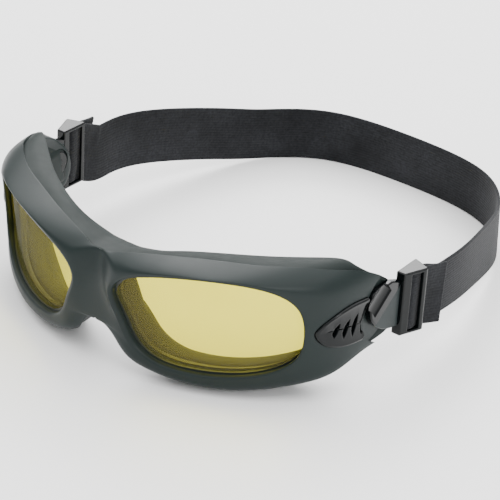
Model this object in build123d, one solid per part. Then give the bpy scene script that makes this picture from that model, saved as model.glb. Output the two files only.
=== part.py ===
from build123d import *
from math import cos, degrees, radians, sin
import os

# Safety goggles with a wrap-around moulded front, two tinted lenses, a soft face seal,
# vented temples and an elastic head strap on two swinging arms.
# Working frame: X across the face (+X is the wearer's left), the wearer looks along -Y,
# +Z up, all in millimetres. The last step moves every piece so that the goggles stand
# on z = 0 with the middle of their bounding box over the origin.

# Face: a tilted cylinder that the front, lenses and seal are concentric with
FACE_TILT = 9.5            # the top of the face leans forward, degrees
FACE_PIVOT_Z = 5.0         # height about which the face is tilted
FACE_AXIS_Y = 87.0         # vertical axis of the face cylinder
FRONT_R = 98.0             # outer front surface
LEDGE_R = 87.0             # parting line between the front and the face seal
SEAL_R = 76.0              # edge of the seal at the bridge
BLOCK_HALF_HEIGHT = 45.0   # more than any face part
FAR = 120.0                # more than any face part is deep

# Lenses and gaskets
LENS_FRONT_R = 94.8
LENS_THICKNESS = 2.0
LENS_OVERLAP = 1.0         # lens edge beyond the aperture
GASKET_WALL = 0.6
GASKET_LIP = 0.6           # gasket lip seen inside the aperture
FRONT_SIDE_Y = 57.0        # the lenses lie in front of this, the rest of their cylinder behind it

# Temples
TEMPLE_REAR_Y = 80.0
SEAL_END_Y = 50.0
FLOOR_Z = -26.1            # the surface that the goggles stand on

# Strap arm pivot
PIVOT_Y = 62.5
PIVOT_Z = 6.5
HUB_R = 4.6
HUB_CLEARANCE = 0.05
SNAP_POST_R = 2.4
CAP_R = 5.6
CAP_RECESS_R = 6.6
CAP_RECESS_DEPTH = 1.6
CAP_THICKNESS = 1.2
CAP_CHAMFER = 0.4
EAR_INNER_X = 80.5
CAP_RECESS_X = EAR_INNER_X - 0.2 + CAP_RECESS_DEPTH
CAP_OUTER_X = CAP_RECESS_X - 0.3
ARM_FLOOR_X = 82.9         # outer face of the ear under the arm
ARM_GAP = 0.35
ARM_THICKNESS = 2.7
SEAM_R = 15.4              # wall of the arm's seat, about the pivot
DISH_R = 9.0               # thumb dish in the arm's outer face
DISH_DEPTH = 1.3
DISH_LENGTH = 12.5
DISH_SLANT = 38.0
DISH_MIDDLE = (-7.5, 6.5)  # Y and Z from the pivot
ARM_RIM_R = 0.7
HARNESS_RISE = 2.0         # the arms point this far above level at rest, degrees

# Buckle and strap, measured from the pivot along the arm
STRAP_WIDTH = 24.6
STRAP_THICKNESS = 1.4
BUCKLE_Z = -2.5
BAR_R = 1.3
BAR_X = 86.2
BAR_Y = 13.0
POST_FRONT_Y = 6.8
POST_REAR_Y = 10.1
POST_INNER_X = 83.2
POST_OUTER_X = 87.3
PLATE_GAP = 25.2
PLATE_THICKNESS = 1.2
REAR_BAR_Y = 15.2
REAR_BAR_DEPTH = 2.2
REAR_BAR_X = 89.0
REAR_BAR_THICKNESS = 1.9
INNER_RAIL_X = 83.0
INNER_RAIL_Y = 17.8
INNER_RAIL_DEPTH = 2.2
INNER_RAIL_THICKNESS = 1.2
BUCKLE_CORNER_R = 0.7
BUCKLE_BAR_R = 0.6
BUCKLE_CHAMFER = 0.45
BUCKLE_SPARE = 3.0         # how far its cutting outlines reach past the buckle
TONGUE_THICKNESS = 1.3
TONGUE_HALF_WIDTH = 7.0
TONGUE_END_Y = 9.0

STRAP_SIDE_FROM = 5.0      # in front of the strap's fold, measured from the pivot

# Middle line of the strap in plan: X, distance from the pivot, bend radius of each corner
STRAP_TAIL_END = (91.0, 31.0)
STRAP_CORNERS = ((87.6, 18.6, 8.0), (88.25, 14.0, 8.0), (88.25, 10.95, 2.04), (84.15, 10.95, 2.04),
                 (84.15, 14.0, 6.0), (85.6, 19.0, 20.0), (85.2, 30.0, 200.0), (85.3, 50.1, 70.0),
                 (77.75, 79.4, 350.0), (66.85, 111.4, 100.0), (53.9, 132.2, 37.0), (32.5, 142.9, 55.0),
                 (12.1, 145.5, 150.0))

# Vents
VENT_PROUD = 0.7
VENT_SEAT_DEPTH = 1.3
FILTER_THICKNESS = 1.0
VENT_REAR_R = 16.2         # rear edge of the vent cover, about the arm's pivot
COVER_CLEARANCE = 0.1
FILTER_INSET = 1.2         # ledge that the cover rests on
VENT_CUT_PROUD = 3.0       # the recess is open to this height above the temple
SEAT_OVERLAP = 0.2         # the recess and the filter's pocket run into each other
TEMPLE_CUT = (70.0, 95.0)  # X range that holds the temple's wall beside the vent and the pivot
WINDOW_FROM_X = 60.0
SLOT_WIDTH = 2.5
SLOTS = ((34.0, 5.6, 3.3, 14.0), (38.3, 5.4, 4.3, 12.0), (42.4, 5.8, 5.0, 9.0), (47.0, 5.2, 5.1, 6.0))

MIRROR = Plane.YZ


def both_sides(half):
    """Fuse a right-hand half with its mirror image."""
    return half + mirror(half, about=MIRROR)


def face_place(shape):
    """Move a shape from the face's upright frame to the working frame."""
    return Pos(0, 0, FACE_PIVOT_Z) * Rot(FACE_TILT, 0, 0) * Pos(0, 0, -FACE_PIVOT_Z) * shape


def harness_place(shape):
    """Move a shape from the strap harness's level frame, origin at the pivot."""
    return Pos(0, PIVOT_Y, PIVOT_Z) * Rot(HARNESS_RISE, 0, 0) * shape


def moved_out(curve, amount, samples):
    """Points of a clockwise-travelled curve, each moved out along the curve's normal."""
    points = []
    for step in range(samples):
        along = curve % (step / samples)
        points.append(curve @ (step / samples) + Vector(-along.Y, along.X) * amount)
    return points


def plan_region(radius, arc_degrees, corner_points, end_direction, side_end, grow=0.0):
    """Half of the plan inside one wrap-around curve: face arc, temple corner, straight side."""
    arc = CenterArc((0, FACE_AXIS_Y), radius + grow, -90, arc_degrees)
    joint = CenterArc((0, FACE_AXIS_Y), radius, -90, arc_degrees) @ 1
    corner = Spline(joint, *corner_points, tangents=(arc % 1, end_direction))
    if grow:
        outside = moved_out(corner, -grow, 5)[1:]
        outside.append(corner @ 1 + Vector((corner % 1).Y, -(corner % 1).X) * grow)
        corner = Spline(arc @ 1, *outside, tangents=(corner % 0, corner % 1))
    side = Line(corner @ 1, (side_end[0] + grow, side_end[1]))
    back = Polyline(side @ 1, (0, side_end[1]), arc @ 0)
    return make_face([arc, corner, side, back])


def outer_region(grow=0.0):
    return plan_region(FRONT_R, 46, [(79.6, 30.0), (84.0, 44.0)], (0.06, 1.0), (85.4, TEMPLE_REAR_Y), grow)


def ledge_region():
    return plan_region(LEDGE_R, 50, [(74.9, 40.0), (79.2, 52.0)], (0.10, 1.0), (EAR_INNER_X, TEMPLE_REAR_Y))


def seal_region():
    return plan_region(SEAL_R, 20, [(38.0, 20.0), (51.5, 29.0), (63.0, 39.0), (72.0, 49.5), (78.0, 61.0)],
                       (0.35, 1.0), (80.2, TEMPLE_REAR_Y))


def block(region):
    return extrude(region, BLOCK_HALF_HEIGHT, both=True)


def face_shell(outer_r, inner_r):
    """Upright cylindrical shell about the face axis."""
    height = 2 * BLOCK_HALF_HEIGHT
    return Pos(0, FACE_AXIS_Y, 0) * (Cylinder(outer_r, height) - Cylinder(inner_r, height))


def front_prism(outline):
    """Extrude a front-view outline (X, Z) through the face."""
    return extrude(Plane.XZ * outline, FAR, both=True)


def side_prism(outline):
    """Extrude a side-view outline (Y, Z) across the face."""
    return extrude(Plane.YZ * outline, FAR, both=True)


def aperture(grow=0.0):
    """Lens opening of the +X side in front view, grown or shrunk all round."""
    rim = Spline((10.0, 13.4), (13.9, 19.7), (22.0, 23.7), (33.0, 26.2), (45.0, 26.8), (57.3, 25.1),
                 (66.6, 20.7), (72.3, 13.0), (73.7, 1.0), (71.6, -9.7), (65.0, -14.9), (53.0, -17.0),
                 (38.0, -16.5), (24.7, -13.5), (17.8, -7.4), (13.0, 3.8), periodic=True)
    if grow:
        rim = Spline(*moved_out(rim, grow, 24), periodic=True)
    return make_face(rim)


def front_outline():
    """Right half of the moulded front in front view, with the nose notch."""
    top = Spline((0, 26.4), (14.0, 27.6), (28.0, 29.7), (42.0, 30.4), (55.0, 29.2), (66.0, 26.0),
                 (75.0, 19.4), (84.0, 15.0), (92.0, 13.4), tangents=((1, 0), (1, -0.2)))
    end = Line(top @ 1, (92.0, -15.0))
    bottom = Spline((92.0, -15.0), (77.0, -19.6), (67.0, -22.4), (56.0, -23.6), (43.0, -23.0),
                    (29.0, -21.2), (17.0, -18.4), (10.8, -14.6))
    notch = Spline((10.8, -14.6), (8.8, -9.8), (5.5, -6.2), (0, -4.6), tangents=((-0.2, 1), (-1, 0)))
    return make_face([top, end, bottom, notch, Line(notch @ 1, top @ 0)])


def seal_outline():
    """Right half of the face seal in front view: it flares down to the cheeks."""
    top = Spline((0, 19.4), (11.0, 20.8), (19.0, 24.0), (28.0, 26.4), (39.0, 26.2), (51.5, 24.0),
                 (62.0, 22.2), (71.5, 19.6), (84.0, 14.6), tangents=((1, 0), (1, -0.5)))
    end = Line(top @ 1, (84.0, -16.0))
    bottom = Spline((84.0, -16.0), (76.0, -20.0), (67.0, -26.0), (56.0, -31.2), (40.0, -31.0),
                    (26.0, -25.0), (16.0, -19.5), (12.4, -14.6))
    notch = Spline((12.4, -14.6), (9.6, -7.0), (5.8, -2.6), (0, -0.8), tangents=((-0.2, 1), (-1, 0)))
    return make_face([top, end, bottom, notch, Line(notch @ 1, top @ 0)])


def seal_cavity():
    """Eye opening of the seal in front view, a little wider than the lens opening below."""
    rim = Spline((10.0, 9.0), (13.0, 16.6), (22.0, 21.6), (34.0, 24.0), (47.0, 23.4), (59.0, 20.8),
                 (69.5, 15.4), (75.6, 5.0), (75.0, -8.0), (67.0, -17.0), (54.0, -20.6),
                 (38.0, -20.0), (25.0, -16.0), (17.0, -9.0), (12.0, 0.5), periodic=True)
    return make_face(rim)


def temple_outline():
    """Side view of the front with its temples: all that lies in front of the ear's rear end."""
    top = Spline((8.0, 33.5), (30.0, 31.0), (43.0, 28.6), (49.5, 25.4), (55.0, 21.7), (62.0, 17.6),
                 (68.5, 12.2), (71.2, 5.0), tangents=((1, -0.1), (0, -1)))
    rear = Spline((71.2, 5.0), (70.8, -2.0), (68.4, -6.6), tangents=((0, -1), (-1, -0.2)))
    under = Spline((68.4, -6.6), (61.5, -6.8), (54.0, -8.2), (46.0, -10.2), (38.0, -13.0),
                   (30.0, -18.0), (20.0, -26.0), tangents=((-1, -0.1), (-1, -0.7)))
    front = Polyline((20.0, -26.0), (-30.0, -40.0), (-30.0, 40.0), (8.0, 33.5))
    return make_face([top, rear, under, front])


def vent_outline(grow=0.0):
    """Leaf-shaped vent cover in side view, its rear edge round the arm's pivot."""
    tip = (26.4 - grow, 5.4)
    spread = degrees(grow / VENT_REAR_R)
    rear = CenterArc((PIVOT_Y, PIVOT_Z), VENT_REAR_R - grow, 142.0 - spread, 73.0 + 2 * spread)
    top = Spline(tip, (30.2 - 0.6 * grow, 10.4 + 0.7 * grow), (37.0, 14.9 + grow), rear @ 0,
                 tangents=((0.3, 1), (1, 0)))
    low = Spline(rear @ 1, (40.0, -2.8 - grow), (30.4 - 0.5 * grow, -0.2 - 0.8 * grow), tip,
                 tangents=((-1, 0), (-0.5, 1)))
    return make_face([top, rear, low])


def vent_slot(index):
    """One slanted, curved slot in side view, number 0 at the front."""
    middle_y, middle_z, half_length, slant = SLOTS[index]
    run = half_length * sin(radians(slant))
    rise = half_length * cos(radians(slant))
    top = (middle_y + run, middle_z + rise)
    foot = (middle_y - run, middle_z - rise)
    bulge_front = (middle_y - 0.75 * SLOT_WIDTH, middle_z + 0.4)
    bulge_rear = (middle_y + 0.25 * SLOT_WIDTH, middle_z - 0.4)
    return make_face([ThreePointArc(foot, bulge_front, top), ThreePointArc(top, bulge_rear, foot)])


def x_prism(outline, x_from=TEMPLE_CUT[0], x_to=TEMPLE_CUT[1]):
    """Extrude a side-view outline (Y, Z) from one X to another on the +X side."""
    return Pos(x_from, 0, 0) * extrude(Plane.YZ * outline, x_to - x_from)


def x_cylinder(radius, x_from, x_to, y=PIVOT_Y, z=PIVOT_Z):
    return Pos(0.5 * (x_from + x_to), y, z) * Rot(0, 90, 0) * Cylinder(radius, x_to - x_from)


def side_band(outward, inward):
    """Skin that follows the temple's outer surface, from inward of it to outward of it."""
    skin = block(outer_region(outward)) - block(outer_region(-inward))
    return face_place(skin)


def vent_cover():
    slots = vent_slot(0) + vent_slot(1) + vent_slot(2) + vent_slot(3)
    plate = x_prism(vent_outline(-COVER_CLEARANCE) - slots) & side_band(VENT_PROUD, VENT_SEAT_DEPTH)
    return largest(plate)


def vent_filter():
    band = side_band(-VENT_SEAT_DEPTH, VENT_SEAT_DEPTH + FILTER_THICKNESS)
    return largest(x_prism(vent_outline(-FILTER_INSET)) & band)


def vent_seat():
    """Stepped recess for the cover and the filter, with windows into the goggles behind them."""
    seat = x_prism(vent_outline()) & side_band(VENT_CUT_PROUD, VENT_SEAT_DEPTH)
    pocket_band = side_band(SEAT_OVERLAP - VENT_SEAT_DEPTH, VENT_SEAT_DEPTH + FILTER_THICKNESS)
    pocket = x_prism(vent_outline(-FILTER_INSET)) & pocket_band
    windows = x_prism(vent_slot(1) + vent_slot(2) + vent_slot(3), WINDOW_FROM_X)
    return seat + pocket + windows


def largest(shape):
    return max(shape.solids(), key=lambda solid: solid.volume)


def lens_pocket():
    shell = face_shell(LENS_FRONT_R + GASKET_WALL, LENS_FRONT_R - LENS_THICKNESS - GASKET_WALL)
    return shell & front_prism(aperture(LENS_OVERLAP + GASKET_WALL))


def front_side(shape):
    """Keep the half of a full ring that faces forward."""
    return shape & Box(2 * FAR, 2 * FRONT_SIDE_Y, 2 * FAR)


def lens():
    shell = face_shell(LENS_FRONT_R, LENS_FRONT_R - LENS_THICKNESS)
    return face_place(largest(front_side(shell & front_prism(aperture(LENS_OVERLAP)))))


def lens_gasket():
    pane = face_shell(LENS_FRONT_R, LENS_FRONT_R - LENS_THICKNESS) & front_prism(aperture(LENS_OVERLAP))
    ring = lens_pocket() - front_prism(aperture(-GASKET_LIP)) - pane
    return face_place(largest(front_side(ring)))


def front_frame():
    half = (block(outer_region()) - block(ledge_region())) & front_prism(front_outline())
    half = half - front_side(lens_pocket()) - front_prism(aperture())
    half = face_place(half) & side_prism(temple_outline())
    arm_seat = x_cylinder(SEAM_R, ARM_FLOOR_X, FAR)
    arm_way = Pos(ARM_FLOOR_X + FAR / 2, PIVOT_Y + FAR / 2, 0) * Box(FAR, FAR, FAR)
    half = half - arm_seat - arm_way
    half = half - x_cylinder(HUB_R + HUB_CLEARANCE, *TEMPLE_CUT)
    half = half - x_cylinder(CAP_RECESS_R, TEMPLE_CUT[0], CAP_RECESS_X)
    half = half - vent_seat()
    return both_sides(largest(half))


def face_seal():
    half = (block(ledge_region()) - block(seal_region())) & front_prism(seal_outline())
    half = half - front_prism(seal_cavity())
    half = face_place(half)
    keep = Pos(0, 0, FLOOR_Z + FAR) * Box(2 * FAR, 2 * SEAL_END_Y, 2 * FAR)
    return both_sides(largest(half & keep))


def arm_outline():
    """Arm in side view about the pivot: round nose, level top, tab that falls to the buckle."""
    top = Polyline((-8.4, 10.3), (0.5, 10.3), (POST_FRONT_Y, 7.8), (POST_FRONT_Y, -12.0))
    nose = Spline((POST_FRONT_Y, -12.0), (-1.5, -9.9), (-8.2, -5.6), (-12.0, -0.6), (-12.7, 4.2),
                  (-8.4, 10.3), tangents=((-1, 0.2), (1, 0)))
    return make_face([top, nose])


def dish_tool():
    """Long roller that scoops the thumb dish, with its axis along Y before it is slanted."""
    return Cylinder(DISH_R, DISH_LENGTH, rotation=(90, 0, 0))


def strap_arm():
    """Swinging arm in the harness frame: dished disc, tab and tongue, hub and snap post."""
    inner_x = ARM_FLOOR_X + ARM_GAP
    outer_x = inner_x + ARM_THICKNESS
    plate = Pos(inner_x, 0, 0) * extrude(Plane.YZ * arm_outline(), ARM_THICKNESS)
    rims = plate.faces().sort_by(Axis.X)[-1].edges()
    plate = fillet(rims, ARM_RIM_R)
    plate = plate - Pos(outer_x + DISH_R - DISH_DEPTH, *DISH_MIDDLE) * Rot(DISH_SLANT, 0, 0) * dish_tool()
    tongue_x = inner_x + 0.5 * ARM_THICKNESS
    tongue = Pos(tongue_x, 0.5 * TONGUE_END_Y, BUCKLE_Z) * Box(TONGUE_THICKNESS, TONGUE_END_Y,
                                                               2 * TONGUE_HALF_WIDTH)
    hub = x_cylinder(HUB_R, CAP_OUTER_X, inner_x + 0.5, 0, 0)
    post = x_cylinder(SNAP_POST_R, CAP_OUTER_X - CAP_THICKNESS, CAP_OUTER_X + 1, 0, 0)
    return harness_place(largest(plate + tongue + hub + post))


def pivot_cap():
    """Snap cap that keeps the hub in the ear, flush with the ear's inner face."""
    disc = x_cylinder(CAP_R, CAP_OUTER_X - CAP_THICKNESS, CAP_OUTER_X, 0, 0)
    disc = chamfer(disc.edges().group_by(Axis.X)[0], CAP_CHAMFER)
    return harness_place(disc - x_cylinder(SNAP_POST_R, *TEMPLE_CUT, 0, 0))


def buckle_plate_outline():
    """End plate in plan (X, distance from the pivot): it deepens towards the wearer's head."""
    corners = Polyline((POST_INNER_X, POST_FRONT_Y), (POST_OUTER_X, POST_FRONT_Y),
                       (REAR_BAR_X + REAR_BAR_THICKNESS, REAR_BAR_Y + 0.5 * REAR_BAR_DEPTH),
                       (REAR_BAR_X + REAR_BAR_THICKNESS, REAR_BAR_Y + REAR_BAR_DEPTH),
                       (INNER_RAIL_X + INNER_RAIL_THICKNESS, INNER_RAIL_Y + INNER_RAIL_DEPTH),
                       (INNER_RAIL_X, INNER_RAIL_Y + INNER_RAIL_DEPTH), (INNER_RAIL_X, INNER_RAIL_Y),
                       (POST_INNER_X, POST_REAR_Y), close=True)
    return fillet(make_face(corners).vertices(), BUCKLE_CORNER_R)


def buckle():
    """Ladder buckle: two end plates, front post with the arm's slot, rear bar and inner rail."""
    height = PLATE_GAP + 2 * PLATE_THICKNESS
    outline = buckle_plate_outline()
    frame = Pos(0, 0, -0.5 * height) * extrude(outline, height)
    frame = chamfer(frame.faces().filter_by(Axis.Z).edges(), BUCKLE_CHAMFER)
    opening = Pos(0, 0, -0.5 * PLATE_GAP) * extrude(buckle_window(), PLATE_GAP)
    frame = frame - opening
    slot_x = ARM_FLOOR_X + ARM_GAP + 0.5 * ARM_THICKNESS
    slot = Pos(slot_x, POST_FRONT_Y, 0) * Box(TONGUE_THICKNESS, 2 * (TONGUE_END_Y - POST_FRONT_Y),
                                              2 * TONGUE_HALF_WIDTH)
    bar_hole = Pos(BAR_X, BAR_Y, 0) * Cylinder(BAR_R, height - PLATE_THICKNESS)
    return harness_place(Pos(0, 0, BUCKLE_Z) * largest(frame - slot - bar_hole))


def rounded_rectangle(x_from, x_to, y_from, y_to, corner_r):
    middle = Pos(0.5 * (x_from + x_to), 0.5 * (y_from + y_to))
    return middle * fillet(Rectangle(x_to - x_from, y_to - y_from).vertices(), corner_r)


def buckle_window():
    """Plan of the space between the end plates that isn't post, rear bar or inner rail."""
    post = rounded_rectangle(POST_INNER_X - BUCKLE_SPARE, POST_OUTER_X + BUCKLE_SPARE,
                             POST_FRONT_Y - BUCKLE_SPARE, POST_REAR_Y, BUCKLE_CORNER_R)
    rear = rounded_rectangle(REAR_BAR_X, REAR_BAR_X + REAR_BAR_THICKNESS + BUCKLE_SPARE,
                             REAR_BAR_Y, REAR_BAR_Y + REAR_BAR_DEPTH + BUCKLE_SPARE, BUCKLE_BAR_R)
    rail = rounded_rectangle(INNER_RAIL_X - BUCKLE_SPARE, INNER_RAIL_X + INNER_RAIL_THICKNESS,
                             INNER_RAIL_Y, INNER_RAIL_Y + INNER_RAIL_DEPTH + BUCKLE_SPARE, BUCKLE_BAR_R)
    return Pos(BAR_X, BAR_Y) * Rectangle(FAR, FAR) - post - rear - rail


def strap_bar():
    """Round bar that the strap folds over, pressed into the end plates."""
    length = PLATE_GAP + PLATE_THICKNESS
    return harness_place(Pos(BAR_X, BAR_Y, BUCKLE_Z) * Cylinder(BAR_R, length))


def strap_plan():
    """Right half of the strap in plan, from the free tail round the bar to the back of the head."""
    corners = [(x, y) for x, y, radius in STRAP_CORNERS]
    path = FilletPolyline(STRAP_TAIL_END, *corners, (0, corners[-1][1]),
                          radius=[radius for x, y, radius in STRAP_CORNERS])
    return trace(path, STRAP_THICKNESS)


def strap_side():
    """Side view of the strap in the harness frame: its bottom edge lies flat at the back."""
    half = 0.5 * STRAP_WIDTH
    fall = ((14.0, BUCKLE_Z), (20.5, BUCKLE_Z), (26.3, -6.2), (32.0, -8.1), (40.0, -8.5), (50.0, -9.1),
            (60.0, -10.7), (73.0, -13.1), (86.5, -16.3), (100.4, -19.8), (113.5, -23.0), (125.0, -25.3),
            (134.5, -26.2), (147.5, -26.4))
    top = Spline(*[(y, z + half) for y, z in fall], tangents=((1, 0), (1, 0)))
    low = Spline(*[(y, z - half) for y, z in fall], tangents=((1, 0), (1, 0)))
    front = Polyline(low @ 0, (STRAP_SIDE_FROM, BUCKLE_Z - half), (STRAP_SIDE_FROM, BUCKLE_Z + half),
                     top @ 0)
    return make_face([front, top, Line(top @ 1, low @ 1), low])


def strap_band():
    band = Pos(0, 0, -BLOCK_HALF_HEIGHT) * extrude(strap_plan(), 2 * BLOCK_HALF_HEIGHT)
    half = harness_place(band & side_prism(strap_side()))
    above_floor = Pos(0, 0, FLOOR_Z + FAR) * Box(4 * FAR, 8 * FAR, 2 * FAR)
    return both_sides(largest(half & above_floor))


def model():
    """Every sub-part by name, in the working frame."""
    parts = {"front_frame": front_frame(), "face_seal": face_seal(), "strap_band": strap_band()}
    pairs = {"lens": lens(), "lens_gasket": lens_gasket(), "vent_cover": vent_cover(),
             "vent_filter": vent_filter(), "strap_arm": strap_arm(), "pivot_cap": pivot_cap(),
             "buckle": buckle(), "strap_bar": strap_bar()}
    for name, shape in pairs.items():
        parts[name + "_left"] = shape
        parts[name + "_right"] = mirror(shape, about=MIRROR)
    return parts


def main():
    parts = model()
    front_y = min(shape.bounding_box().min.Y for shape in parts.values())
    rear_y = max(shape.bounding_box().max.Y for shape in parts.values())
    to_row = Pos(0, -0.5 * (front_y + rear_y), -FLOOR_Z)
    print("model moved by y", round(-0.5 * (front_y + rear_y), 4), "z", -FLOOR_Z)
    os.makedirs("parts", exist_ok=True)
    for name, shape in parts.items():
        export_step(to_row * shape, os.path.join("parts", name + ".step"))


main()
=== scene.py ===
from math import cos, pi, radians, sin

import bmesh
import bpy
import numpy as np
from mathutils import Matrix, Vector


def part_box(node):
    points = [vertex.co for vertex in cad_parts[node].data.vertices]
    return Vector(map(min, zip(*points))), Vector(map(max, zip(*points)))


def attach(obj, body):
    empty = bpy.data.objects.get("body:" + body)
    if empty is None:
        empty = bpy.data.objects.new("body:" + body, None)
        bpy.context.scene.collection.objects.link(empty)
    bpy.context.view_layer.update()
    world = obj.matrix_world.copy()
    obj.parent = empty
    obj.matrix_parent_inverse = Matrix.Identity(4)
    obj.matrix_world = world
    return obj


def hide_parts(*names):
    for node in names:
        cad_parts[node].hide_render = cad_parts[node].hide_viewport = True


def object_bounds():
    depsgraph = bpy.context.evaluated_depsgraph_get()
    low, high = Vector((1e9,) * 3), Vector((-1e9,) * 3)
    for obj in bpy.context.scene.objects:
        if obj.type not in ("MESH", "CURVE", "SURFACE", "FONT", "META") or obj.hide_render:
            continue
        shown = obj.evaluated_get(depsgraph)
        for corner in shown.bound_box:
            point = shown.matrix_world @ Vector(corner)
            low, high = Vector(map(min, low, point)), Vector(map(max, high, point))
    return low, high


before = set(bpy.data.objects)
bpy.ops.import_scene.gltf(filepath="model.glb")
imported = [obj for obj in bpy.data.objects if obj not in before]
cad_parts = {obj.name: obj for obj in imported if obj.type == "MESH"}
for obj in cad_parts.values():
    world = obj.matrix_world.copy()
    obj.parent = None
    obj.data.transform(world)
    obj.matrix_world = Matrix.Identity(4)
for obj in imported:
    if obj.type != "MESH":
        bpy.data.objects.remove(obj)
cad_low, cad_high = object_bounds()

# Guide points are in millimetres in the "bench" frame that the goggles were drawn in: the row frame moved
# so that the strap arms' pivot lies at y 62.5, z 6.5. Everything is placed from the pivot's place in the row.
MM = 0.001
PIVOT_BENCH = Vector((0.0, 62.5, 6.5))
cap_low, cap_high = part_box("pivot_cap_left")
PIVOT = 0.5 * (cap_low + cap_high)
SHIFT = Vector((0.0, PIVOT.y / MM, PIVOT.z / MM)) - PIVOT_BENCH
FLOOR = -SHIFT.z                       # height of the floor in the bench frame
WORLD_UP = np.array((0.0, 0.0, 1.0))


def to_row(points):
    """Bench millimetres to row metres."""
    return (np.asarray(points, float) + np.array(SHIFT)) * MM


# ---------------------------------------------------------------- curves

CLOSED_LEAD = 4                        # points repeated before a closed lap, and one more than that after it


def natural_cubic(t, values, at):
    """Natural cubic spline through values at t, read at the given parameters."""
    count = len(t)
    gap = np.diff(t)
    system = np.eye(count)
    right = np.zeros((count, values.shape[1]))
    slopes = np.diff(values, axis=0) / gap[:, None]
    for i in range(1, count - 1):
        system[i, i - 1:i + 2] = gap[i - 1], 2 * (gap[i - 1] + gap[i]), gap[i]
        right[i] = 6 * (slopes[i] - slopes[i - 1])
    second = np.linalg.solve(system, right)
    i = np.clip(np.searchsorted(t, at, side="right") - 1, 0, count - 2)
    step = gap[i][:, None]
    before = (at - t[i])[:, None]
    after = step - before
    bend_before = second[i] * (after ** 3 / step - after * step)
    bend_after = second[i + 1] * (before ** 3 / step - before * step)
    return (values[i] * after + values[i + 1] * before) / step + (bend_before + bend_after) / 6


def even(points, count, closed=False):
    """Points spaced evenly by length along a dense polyline."""
    lengths = np.concatenate([[0], np.cumsum(np.linalg.norm(np.diff(points[:, :3], axis=0), axis=1))])
    at = np.linspace(0, lengths[-1], count, endpoint=not closed)
    return np.stack([np.interp(at, lengths, column) for column in points.T], 1)


def smooth(points, count, closed=False, dense=40):
    """Evenly spaced points on a smooth curve through the given ones."""
    knots = np.asarray(points, float)
    lap = len(knots)
    if closed:
        knots = np.vstack([knots[-CLOSED_LEAD:], knots, knots[:CLOSED_LEAD + 1]])
    t = np.concatenate([[0], np.cumsum(np.sqrt(np.linalg.norm(np.diff(knots[:, :3], axis=0), axis=1)))])
    first, last = (CLOSED_LEAD, CLOSED_LEAD + lap) if closed else (0, lap - 1)
    at = np.linspace(t[first], t[last], dense * lap)
    return even(natural_cubic(t, knots, at), count, closed)


# ---------------------------------------------------------------- the wrap-around outer surface

TILT = radians(9.5)                    # lean of the face's upright frame, about the x axis through TILT_Z
TILT_Z = 5.0
FACE_AXIS_Y = 87.0                     # axis of the front's cylinder in plan
FRONT_R = 98.0
FRONT_TO = 46.0                        # degrees round that cylinder, where the temple takes over
ARC_KNOTS = 14
TEMPLE = ((79.6, 30.0), (84.0, 44.0), (85.1, 60.0), (85.4, 82.0))
PLAN_SAMPLES = 2400
LENS_BACK = -5.2                       # back of the lens, proud of the surface
LENS_LIP = -2.6                        # front of the lens pocket


def to_face(p):
    """Bench frame to the face's upright frame."""
    x, y, z = p[..., 0], p[..., 1], p[..., 2] - TILT_Z
    return np.stack([x, y * cos(TILT) + z * sin(TILT), TILT_Z - y * sin(TILT) + z * cos(TILT)], -1)


def from_face(q):
    """The face's upright frame to the bench frame."""
    x, y, z = q[..., 0], q[..., 1], q[..., 2] - TILT_Z
    return np.stack([x, y * cos(TILT) - z * sin(TILT), TILT_Z + y * sin(TILT) + z * cos(TILT)], -1)


def plan_curve():
    """The outer surface in plan, from the bridge to the ear, densely sampled, with its outward normals."""
    angles = np.radians(np.linspace(0, FRONT_TO, ARC_KNOTS))
    arc = np.stack([FRONT_R * np.sin(angles), FACE_AXIS_Y - FRONT_R * np.cos(angles)], 1)
    mirrored = arc[1:4][::-1] * (-1, 1)
    knots = np.vstack([mirrored, arc, TEMPLE])
    curve = smooth(np.hstack([knots, np.zeros((len(knots), 1))]), PLAN_SAMPLES)[:, :2]
    curve = curve[curve[:, 0] >= 0]
    curve = np.vstack([(0.0, FACE_AXIS_Y - FRONT_R), curve])
    length = np.concatenate([[0], np.cumsum(np.linalg.norm(np.diff(curve, axis=0), axis=1))])
    tangent = np.gradient(curve, axis=0)
    tangent /= np.linalg.norm(tangent, axis=1)[:, None]
    tangent[0] = (1.0, 0.0)
    return length, curve, np.stack([tangent[:, 1], -tangent[:, 0]], 1)


PLAN_S, PLAN_XY, PLAN_N = plan_curve()


def on_surface(shz):
    """Points given as (length along the plan curve, height, distance proud of the surface) to bench."""
    s = shz[..., 0]
    xy = np.stack([np.interp(s, PLAN_S, PLAN_XY[:, k]) for k in (0, 1)], -1)
    normal = np.stack([np.interp(s, PLAN_S, PLAN_N[:, k]) for k in (0, 1)], -1)
    xy = xy + normal * shz[..., 2:3]
    return from_face(np.concatenate([xy, shz[..., 1:2]], -1))


def surface_place(points):
    """The reverse of on_surface."""
    q = to_face(np.asarray(points, float))
    near = [int(np.argmin(((PLAN_XY - p[:2]) ** 2).sum(1))) for p in q]
    proud = ((q[:, :2] - PLAN_XY[near]) * PLAN_N[near]).sum(1)
    return np.stack([PLAN_S[near], q[:, 2], proud], 1)


# ---------------------------------------------------------------- moulded front and face seal

STATIONS = 160                         # points of every ring round one lens
LEAD, TRAIL = 3, 4                     # guide rows repeated before and after a lap, to close it smoothly
APERTURE_SAMPLES = 1200
# Lens opening in the face's upright front view (x, z), from its nasal top corner over the top. Four of its
# points are rounded from a fit to the photograph: (57.3, 25.1), (71.6, -9.7), (24.7, -13.5), (17.8, -7.4).
APERTURE = ((13.9, 19.7), (22.0, 23.7), (33.0, 26.2), (45.0, 26.8), (57.3, 25.1), (66.6, 20.7), (72.3, 13.0),
            (73.7, 1.0), (71.6, -9.7), (65.0, -14.9), (53.0, -17.0), (38.0, -16.5), (24.7, -13.5),
            (17.8, -7.4), (13.0, 3.8), (10.0, 13.4))
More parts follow.
